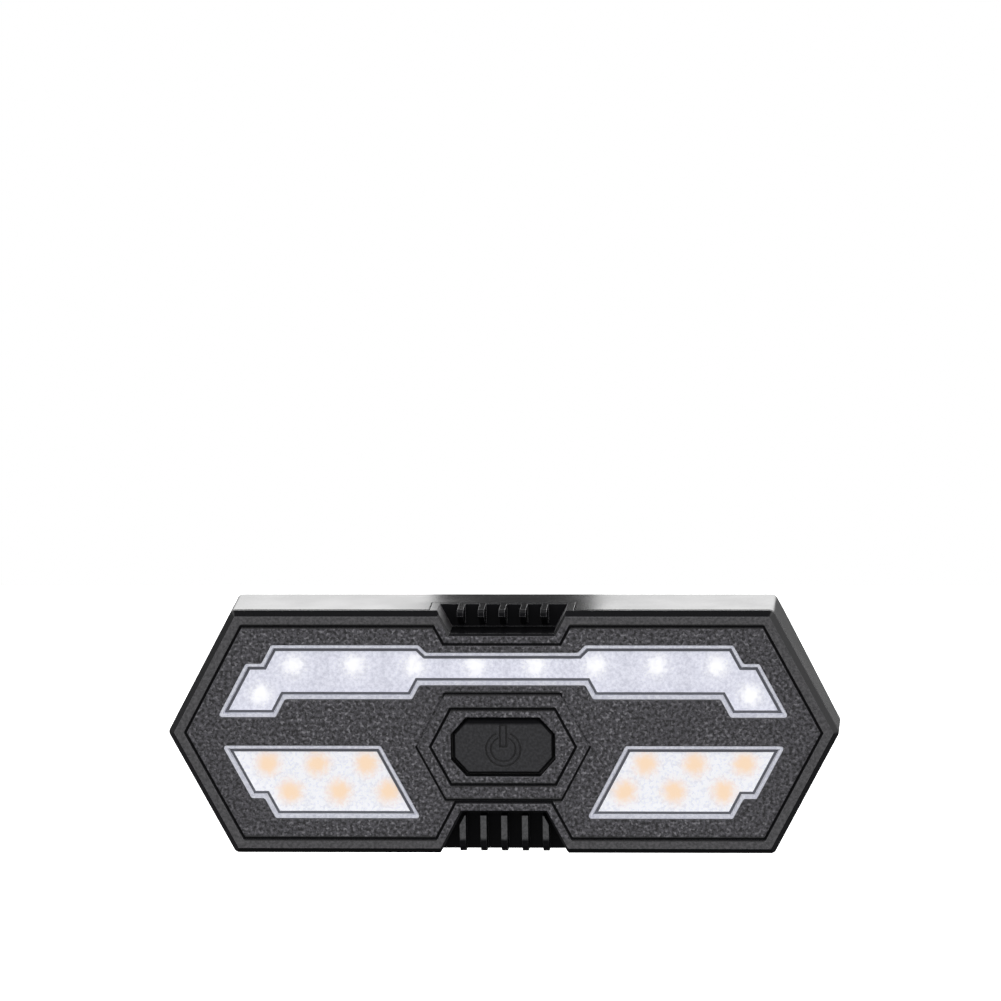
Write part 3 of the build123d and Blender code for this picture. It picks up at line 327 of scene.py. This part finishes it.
class Surface(Graph):
    """One procedural material, in millimetres from the middle of the front face."""

    def __init__(self, name, metallic=0.0):
        self.material = bpy.data.materials.new(name)
        self.material.use_nodes = True
        super().__init__(self.material.node_tree)
        self.shader = self.tree.nodes["Principled BSDF"]
        self.set("Metallic", metallic)
        source = self.node("ShaderNodeTexCoord").outputs["Object"]
        moved = self.vector("SUBTRACT", source, tuple(FACE_MIDDLE))
        self.place = self.vector("SCALE", moved, 1 / MM)
        self.x, self.depth, self.z = self.split(self.place)
        self.noise_place = self.vector("ADD", self.place, NOISE_START)

    def set(self, socket, value):
        """Feeds one of the shader's sockets."""
        self.feed(self.shader.inputs[socket], value)

    def vector(self, operation, first, second):
        """One operation on vectors."""
        node = self.node("ShaderNodeVectorMath", operation=operation)
        self.feed(node.inputs[0], first)
        self.feed(node.inputs["Scale" if operation == "SCALE" else 1], second)
        return node.outputs["Value" if operation in ("DISTANCE", "DOT_PRODUCT") else "Vector"]

    def noise(self, per_mm, detail=2.0, roughness=0.5):
        """Cloudy values about 0.5, with so many blobs in a millimetre."""
        node = self.node("ShaderNodeTexNoise")
        self.feed_all(node, {"Vector": self.noise_place, "Scale": per_mm,
                             "Detail": detail, "Roughness": roughness})
        return node.outputs["Fac"]

    def clouds(self, low, high, **settings):
        """Noise whose values between low and high are spread over all shares."""
        return self.ramp(self.noise(**settings), low, high)

    def bump(self, height, depth_mm, rounding_mm):
        """Relief of the given depth on the surface, whose sharp edges are softened."""
        node = self.node("ShaderNodeBump")
        self.feed_all(node, {"Height": height, "Distance": depth_mm * MM,
                             "Normal": self.rounded(rounding_mm)})
        self.set("Normal", node.outputs["Normal"])

    def rounded(self, radius_mm):
        """The surface's direction as if its edges had the given radius."""
        node = self.node("ShaderNodeBevel", samples=4)
        node.inputs["Radius"].default_value = radius_mm * MM
        return node.outputs["Normal"]

    def edges(self, radius_mm):
        """1 on sharp edges and 0 on flat faces."""
        flat = self.node("ShaderNodeNewGeometry").outputs["Normal"]
        likeness = self.vector("DOT_PRODUCT", self.rounded(radius_mm), flat)
        return self.ramp(likeness, *EDGE_LIKENESS)

    def facing(self):
        """The surface's own direction: across, back and up."""
        return self.split(self.node("ShaderNodeTexCoord").outputs["Normal"])

    def inset(self):
        """Distance from the body's six-sided outline, inwards."""
        side = math.hypot(CORNER_INSET, HALF_HEIGHT)
        up = self.unsigned(self.z)
        lean = self.maths("MULTIPLY", up, CORNER_INSET / side)
        slanted = self.maths("MULTIPLY_ADD", self.unsigned(self.x), HALF_HEIGHT / side, lean)
        to_slant = self.minus(HALF_WIDTH * HALF_HEIGHT / side, slanted)
        return self.maths("MINIMUM", to_slant, self.minus(HALF_HEIGHT, up))

    def past_notch_side(self):
        """Level distance outwards from the line of the notches' sloping sides."""
        slope = CORNER_INSET / HALF_HEIGHT
        side = self.maths("MULTIPLY_ADD", self.unsigned(self.z), -slope, self.unsigned(self.x))
        return self.minus(side, NOTCH_MOUTH_HALF - slope * HALF_HEIGHT)


# Front cover: masks by place

def in_notches(surface):
    """1 in the top notch, and 1 in the bottom notch."""
    within = surface.below(surface.past_notch_side(), 0.0, soft=0.05)
    top = surface.above(surface.z, TOP_NOTCH_Z)
    bottom = surface.below(surface.z, BOTTOM_NOTCH_Z)
    return surface.all_of(within, top), surface.all_of(within, bottom)


def notch_flanks(surface):
    """1 on the sloping side walls of both notches, which get a painted light."""
    turn = surface.unsigned(surface.facing()[0])
    beside = surface.ramp(surface.unsigned(surface.past_notch_side()), *FLANK_REACH)
    outer = surface.above(surface.unsigned(surface.z), -BOTTOM_NOTCH_Z)
    return surface.all_of(beside, outer, surface.ramp(turn, *SIDE_TURN_START),
                          surface.ramp(turn, *SIDE_TURN_END))


def line_shade(surface):
    """1 beside the level stretches of the face's grooves, where a painted shade widens the dark lines.
    """
    across = surface.unsigned(surface.x)
    shade = 0.0
    for height, start, end, middle in LEVEL_LINES:
        up = surface.unsigned(surface.minus(surface.z, middle))
        away = surface.unsigned(surface.minus(up, height))
        near = surface.all_of(surface.above(across, start), surface.below(across, end),
                              surface.ramp(away, *LINE_SHADE))
        shade = surface.any_of(shade, near)
    return shade


def faint_line(surface):
    """1 along the upper slanting stretches of the outer line round the button, which show least."""
    slope = (FRAME_TIP_X - FRAME_CORNER_X) / FRAME_CORNER_UP
    across = surface.unsigned(surface.x)
    up = surface.minus(surface.z, BUTTON_MIDDLE_Z)
    reach = surface.maths("MULTIPLY_ADD", up, slope, across)
    away = surface.unsigned(surface.minus(reach, FRAME_TIP_X))
    return surface.all_of(surface.ramp(away, *FAINT_REACH), surface.ramp(up, *FAINT_FOOT),
                          surface.ramp(across, *FAINT_HEAD))


# Front cover: colours and material

# Dark and light tones, and single colours, some of them painted glints, highlights, light and shade
FACE_TONES = ((0.003, 0.003, 0.004), (0.076, 0.073, 0.084))
RIM_TONES = ((0.040, 0.039, 0.042), (0.085, 0.083, 0.088))
LIT_RIB_TONES = ((0.036, 0.036, 0.038), (0.070, 0.070, 0.073))
FACE_GLINT = (0.235, 0.23, 0.25)
LIT_FLANK_GREY = (0.09, 0.088, 0.092)
LINE_SHADE_BLACK = (0.002, 0.002, 0.002)
SUNK_SHADE_BLACK = (0.006, 0.006, 0.007)
UPWARD_HIGHLIGHT = (0.15, 0.15, 0.16)
GROOVE_EDGE_HIGHLIGHT = (0.06, 0.06, 0.064)
TOP_NOTCH_HIGHLIGHT = (0.26, 0.26, 0.27)

# Largest shares of painted highlight on upward edges, of painted shade by lines and of edge highlight
# facing down
UPWARD_HIGHLIGHT_SHARE = 0.7
SHADE_SHARE = 0.85
DOWNWARD_HIGHLIGHT = 0.1

# Roughness and specular level
MATT_ROUGHNESS = 0.55
SMOOTH_ROUGHNESS = 0.25
OPEN_GLOSS = 0.5
DOWNWARD_GLOSS = 0.2
TOP_NOTCH_GLOSS = 0.22
SUNK_GLOSS = 0.05


def face_colour(surface, tone, field):
    """Painted glints within the rim line, a plainer rim, and painted highlights on edges that turn up.
    """
    drift = surface.ramp(surface.noise(per_mm=0.06), 0.35, 0.65, start=0.55, end=1.0)
    # The light specks are painted glints, stronger in some broad patches than in others
    glints = surface.all_of(surface.clouds(0.5, 0.8, per_mm=2.1, detail=1.0), drift)
    glinting = surface.blend(glints, surface.blend(tone, *FACE_TONES), FACE_GLINT)
    rim = surface.blend(tone, *RIM_TONES)
    # Edges that turn up are lightened with a painted highlight, as if lit from above
    turned_up = surface.split(surface.rounded(radius_mm=0.25))[2]
    upward_highlight = surface.times(surface.ramp(turned_up, *UP_TURN), UPWARD_HIGHLIGHT_SHARE)
    highlighted = surface.blend(upward_highlight, surface.blend(field, rim, glinting), UPWARD_HIGHLIGHT)
    # Beside the level stretches of the grooves the colour is darkened by a painted shade
    return surface.blend(surface.times(line_shade(surface), SHADE_SHARE), highlighted, LINE_SHADE_BLACK)


def sunk_colour(surface, in_top, down):
    """Near black in grooves and notches: the smooth plastic's dark tone deepened by painted shade,
    with edge highlights.
    """
    # The rubbed edges are a painted highlight, faint where they face down and brightest on the top
    # notch's ribs
    rubbed = surface.all_of(surface.edges(radius_mm=0.12), surface.mix(down, 1.0, DOWNWARD_HIGHLIGHT))
    return surface.blend(rubbed, SUNK_SHADE_BLACK, surface.blend(in_top, GROOVE_EDGE_HIGHLIGHT, TOP_NOTCH_HIGHLIGHT))


def textured_black():
    """Spark-eroded plastic: coarse face, finer rim, smooth grooves and notches; painted glints, light
    and shade.
    """
    surface = Surface("textured_black")
    _, facing_back, facing_up = surface.facing()
    down = surface.ramp(facing_up, *DOWN_TURN)
    inset = surface.inset()
    field = surface.above(inset, RIM_LINE_INSET)
    in_top, in_bottom = in_notches(surface)

    # Along the faint line the groove's floor and walls count as part of the face, painted lit like it,
    # without the grooves' painted shade
    faint = faint_line(surface)
    front = surface.any_of(surface.ramp(facing_back, *FRONT_TURN), faint)
    depth = surface.maths("MULTIPLY_ADD", faint, -FAINT_LIFT, surface.depth)
    face = surface.all_of(front, surface.ramp(depth, *FACE_SKIN))
    groove = surface.all_of(front, surface.ramp(depth, *GROOVE_SKIN))

    # The bottom notch's ribs are painted grey as lit from above; the top notch's stay in painted shade
    rib = surface.all_of(in_bottom, front, surface.ramp(surface.depth, *RIB_SKIN),
                         surface.ramp(surface.z, *RIB_ROUND))
    flank = notch_flanks(surface)
    tone = surface.clouds(0.33, 0.67, per_mm=2.0, roughness=0.6)
    # Below the face's skin the colour is near black: a painted shade over the plastic's own dark tone
    body = surface.blend(face, sunk_colour(surface, in_top, down), face_colour(surface, tone, field))
    body = surface.blend(rib, body, surface.blend(tone, *LIT_RIB_TONES))
    # The notches' side walls are painted a lighter grey, as lit
    surface.set("Base Color", surface.blend(flank, body, LIT_FLANK_GREY))

    matt = surface.any_of(face, rib, flank)
    inside = surface.all_of(surface.ramp(surface.depth, *INSIDE_SKIN),
                            surface.ramp(inset, *INSIDE_INSET))
    sunk = surface.all_of(surface.any_of(groove, inside), surface.minus(1.0, matt))
    gloss = surface.mix(in_top, surface.mix(down, OPEN_GLOSS, DOWNWARD_GLOSS), TOP_NOTCH_GLOSS)
    grain = surface.mix(field, surface.noise(per_mm=5.5),
                        surface.noise(per_mm=2.0, detail=3.0, roughness=0.65))
    surface.set("Roughness", surface.mix(matt, SMOOTH_ROUGHNESS, MATT_ROUGHNESS))
    surface.set("Specular IOR Level", surface.mix(sunk, gloss, SUNK_GLOSS))
    surface.bump(surface.all_of(grain, matt), depth_mm=0.12, rounding_mm=0.12)
    return surface.material


# Rear cover and button

SHELL_TONES = ((0.016, 0.016, 0.017), (0.022, 0.022, 0.023))
SHELL_EDGE = (0.045, 0.045, 0.047)
SHELL_ROUGHNESS = (0.22, 0.27)
BUTTON_TONES = ((0.006, 0.006, 0.008), (0.024, 0.024, 0.028))
BUTTON_ROUGHNESS = 0.42
SHADED_GLOSS = 0.03


def smooth_black():
    """Semi-gloss shell with a faint ripple and fine rubbed marks."""
    surface = Surface("smooth_black")
    rubbed = surface.clouds(0.3, 0.7, per_mm=0.12, detail=3.0)
    edges = surface.edges(radius_mm=0.15)
    surface.set("Base Color", surface.blend(edges, surface.blend(rubbed, *SHELL_TONES), SHELL_EDGE))
    surface.set("Roughness", surface.mix(rubbed, *SHELL_ROUGHNESS))
    surface.bump(surface.noise(per_mm=3.0), depth_mm=0.002, rounding_mm=0.12)
    return surface.material


def button_black():
    """Fine matt plastic, with painted shade in the symbol and sides and along the top, where the seat
    shades it.
    """
    surface = Surface("button_black")
    flush = surface.ramp(surface.depth, *BUTTON_SKIN)
    front = surface.ramp(surface.facing()[1], *FRONT_TURN)
    lit = surface.ramp(surface.z, *BUTTON_SHADE)
    body = surface.blend(surface.clouds(0.35, 0.7, per_mm=2.5), *BUTTON_TONES)
    # Deeper than the face, off the front and along the top the colour is a painted shade
    surface.set("Base Color", surface.blend(surface.all_of(flush, front, lit), SUNK_SHADE_BLACK, body))
    surface.set("Roughness", BUTTON_ROUGHNESS)
    surface.set("Specular IOR Level", surface.mix(lit, SHADED_GLOSS, OPEN_GLOSS))
    surface.bump(surface.noise(per_mm=6.0), depth_mm=0.02, rounding_mm=0.15)
    return surface.material


# Lenses

# Dark and light tones, colours and roughness; the amber spot is the lamps' light painted into the
# frost
BORDER_TONES = ((0.54, 0.55, 0.64), (0.76, 0.77, 0.84))
COOL_FROST = ((0.51, 0.52, 0.62), (0.77, 0.78, 0.88))
PALE_FROST = ((0.66, 0.67, 0.73), (0.93, 0.94, 0.98))
AMBER_SPOT = ((0.84, 0.69, 0.61), (0.88, 0.65, 0.46))
WINDOW_LINE_SHADE = (0.13, 0.135, 0.16)
LENS_ROUGHNESS = 0.4

# Colours of the glow far from the lamps and near them
WHITE_TINTS = ((0.93, 0.93, 1.0), (1.0, 0.99, 0.88))
AMBER_TINTS = ((0.95, 0.96, 1.0), (1.0, 0.8, 0.6))

# How strongly a window glows: the white one far from its lamps, in their haze, in their halo and
# at their core, and the amber ones far from their lamps and in their halo
WHITE_GLOW = (0.08, 0.18, 0.25, 0.44)
AMBER_GLOW = (0.18, 0.2)


def lamp_spots(lamps):
    """Where the window shows the spots of the lamps of both halves."""
    both_halves = lamps + [(-across, up) for across, up in lamps]
    return [(across + SPOT_SHIFT[0], up + SPOT_SHIFT[1]) for across, up in both_halves]


def lamp_glow(surface, lamps):
    """Core, halo and haze of the lamps behind a lens: 1 at a lamp and 0 far from it."""
    flat = surface.vector("MULTIPLY", surface.place, (1, 0, 1))
    distances = [surface.vector("DISTANCE", flat, (across, 0, up)) for across, up in lamp_spots(lamps)]
    nearest = distances[0]
    for distance in distances[1:]:
        nearest = surface.maths("MINIMUM", nearest, distance)
    ragged = surface.minus(surface.noise(per_mm=1.3, detail=3.0, roughness=0.6), 0.5)
    reach = surface.maths("MULTIPLY_ADD", ragged, SPOT_FRAY, nearest)
    return [surface.ramp(reach, *limits) for limits in (CORE_REACH, HALO_REACH, HAZE_REACH)]


def start_lens(name):
    """A lens's surface, and the mottle of its frost."""
    surface = Surface(name)
    surface.set("Roughness", LENS_ROUGHNESS)
    return surface, surface.clouds(0.3, 0.7, per_mm=1.9, detail=4.0, roughness=0.75)


def finish_lens(surface, mottle, frost, tint, glow):
    """Frames the window, frosted and glowing with painted lamp light, with a painted shade line and
    bevelled border.
    """
    window = surface.ramp(surface.depth, *WINDOW_SKIN)
    line = surface.ramp(surface.depth, *WINDOW_LINE_SKIN)
    border = surface.blend(mottle, *BORDER_TONES)
    body = surface.blend(window, border, frost)
    surface.set("Base Color", surface.blend(line, body, WINDOW_LINE_SHADE))
    surface.set("Emission Color", tint)
    surface.set("Emission Strength", surface.all_of(glow, window, surface.minus(1.0, line)))
    surface.bump(surface.noise(per_mm=5.0), depth_mm=0.02, rounding_mm=0.08)
    return surface.material


def frosted_white():
    """Cool frost over white lamps."""
    surface, mottle = start_lens("frosted_white")
    core, halo, haze = lamp_glow(surface, WHITE_LAMPS)
    frost = surface.blend(mottle, *COOL_FROST)
    tint = surface.blend(halo, *WHITE_TINTS)
    glow = WHITE_GLOW[0]
    for share, strength in zip((haze, halo, core), WHITE_GLOW[1:]):
        glow = surface.mix(share, glow, strength)
    return finish_lens(surface, mottle, frost, tint, glow)


def frosted_amber():
    """Pale frost over amber lamps."""
    surface, mottle = start_lens("frosted_amber")
    core, halo, _ = lamp_glow(surface, AMBER_LAMPS)
    pale = surface.blend(mottle, *PALE_FROST)
    frost = surface.blend(halo, pale, surface.blend(core, *AMBER_SPOT))
    tint = surface.blend(halo, *AMBER_TINTS)
    return finish_lens(surface, mottle, frost, tint, surface.mix(halo, *AMBER_GLOW))


# Moulded and metal stock

CLOUDS_PER_GRAIN = 0.4
ROUGHNESS_SPREAD = 0.15


def plain(name, colour, roughness, metallic=0.0, grain_mm=0.01, per_mm=3.0, spread=0.25, wear=0.0):
    """Moulded or metal stock: cloudy tone, fine relief and lighter rubbed edges."""
    surface = Surface(name, metallic)
    cloud = surface.clouds(0.3, 0.7, per_mm=per_mm * CLOUDS_PER_GRAIN, detail=3.0)
    dark = tuple(value * (1 - spread) for value in colour)
    light = tuple(min(1.0, value * (1 + spread)) for value in colour)
    body = surface.blend(cloud, dark, light)
    if wear:
        rubbed = tuple(min(1.0, value + wear) for value in colour)
        body = surface.blend(surface.edges(radius_mm=0.15), body, rubbed)
    surface.set("Base Color", body)
    rougher = min(1.0, roughness * (1 + ROUGHNESS_SPREAD))
    surface.set("Roughness", surface.mix(cloud, roughness * (1 - ROUGHNESS_SPREAD), rougher))
    surface.bump(surface.noise(per_mm), grain_mm, rounding_mm=0.1)
    return surface.material


# The nodes that each stock covers, and its look
STOCK = {
    "tray_white": (["light_baffle"], dict(colour=(0.78, 0.78, 0.76), roughness=0.5)),
    "board_green": (["main_board"], dict(colour=(0.02, 0.12, 0.05), roughness=0.35)),
    "lamp_white": (["white_leds"], dict(colour=(0.9, 0.9, 0.82), roughness=0.3)),
    "lamp_amber": (["amber_leds_left", "amber_leds_right"],
                   dict(colour=(0.9, 0.55, 0.2), roughness=0.3)),
    "seal_rubber": (["cover_seal"], dict(colour=(0.015, 0.015, 0.015), roughness=0.7)),
    "switch_black": (["switch_body"], dict(colour=(0.02, 0.02, 0.02), roughness=0.5)),
    "switch_stem_grey": (["switch_stem"], dict(colour=(0.25, 0.25, 0.25), roughness=0.5)),
    "chip_black": (["control_chip", "charger_chip", "radio_chip"],
                   dict(colour=(0.015, 0.015, 0.015), roughness=0.45)),
    "antenna_cream": (["radio_antenna"], dict(colour=(0.6, 0.52, 0.36), roughness=0.5)),
    "battery_foil": (["battery_cell"], dict(colour=(0.55, 0.55, 0.57), roughness=0.35, metallic=0.8,
                                            grain_mm=0.05, per_mm=0.6, spread=0.1)),
    "foam_grey": (["battery_pad"], dict(colour=(0.12, 0.12, 0.13), roughness=0.95, grain_mm=0.2)),
    "lead_red": (["battery_lead_red"], dict(colour=(0.4, 0.01, 0.01), roughness=0.4)),
    "lead_black": (["battery_lead_black"], dict(colour=(0.015, 0.015, 0.015), roughness=0.4)),
    "plug_cream": (["battery_connector"], dict(colour=(0.65, 0.6, 0.5), roughness=0.4)),
    "socket_steel": (["usb_socket_shell"], dict(colour=(0.55, 0.55, 0.56), roughness=0.3, metallic=1.0,
                                                grain_mm=0.003, spread=0.08)),
    "tongue_black": (["usb_socket_tongue"], dict(colour=(0.015, 0.015, 0.015), roughness=0.5)),
    "cover_rubber": (["usb_cover"], dict(colour=(0.018, 0.018, 0.018), roughness=0.75, grain_mm=0.02)),
    "screw_steel": (["cover_screws", "board_screws"],
                    dict(colour=(0.16, 0.16, 0.17), roughness=0.38, metallic=1.0,
                         grain_mm=0.005, spread=0.12, wear=0.25)),
    "bracket_black": (["bracket_collar"], dict(colour=(0.02, 0.02, 0.021), roughness=0.5,
                                               grain_mm=0.025, per_mm=3.5, wear=0.03)),
    "liner_rubber": (["collar_liner"], dict(colour=(0.015, 0.015, 0.015), roughness=0.8,
                                            grain_mm=0.03)),
    "bolt_steel": (["collar_screw", "collar_nut", "clamp_washer"],
                   dict(colour=(0.26, 0.26, 0.27), roughness=0.34, metallic=1.0,
                        grain_mm=0.01, spread=0.12, wear=0.2)),
    "knob_black": (["thumb_knob"], dict(colour=(0.018, 0.018, 0.018), roughness=0.45,
                                        grain_mm=0.03, wear=0.02)),
}


def dress(material, *names):
    """Gives CAD nodes a material."""
    for name in names:
        for slot in nodes[name].material_slots:
            slot.material = material


def dress_all():
    """Gives every CAD node its material."""
    dress(textured_black(), "front_cover")
    dress(smooth_black(), "rear_cover")
    dress(button_black(), "power_button")
    dress(frosted_white(), "upper_lens")
    dress(frosted_amber(), "lower_left_lens", "lower_right_lens")
    for name, (names, look) in STOCK.items():
        dress(plain(name, **look), *names)


bpy.context.scene.view_settings.view_transform = "Standard"
add_camera()
add_world()
add_stage()
dress_all()
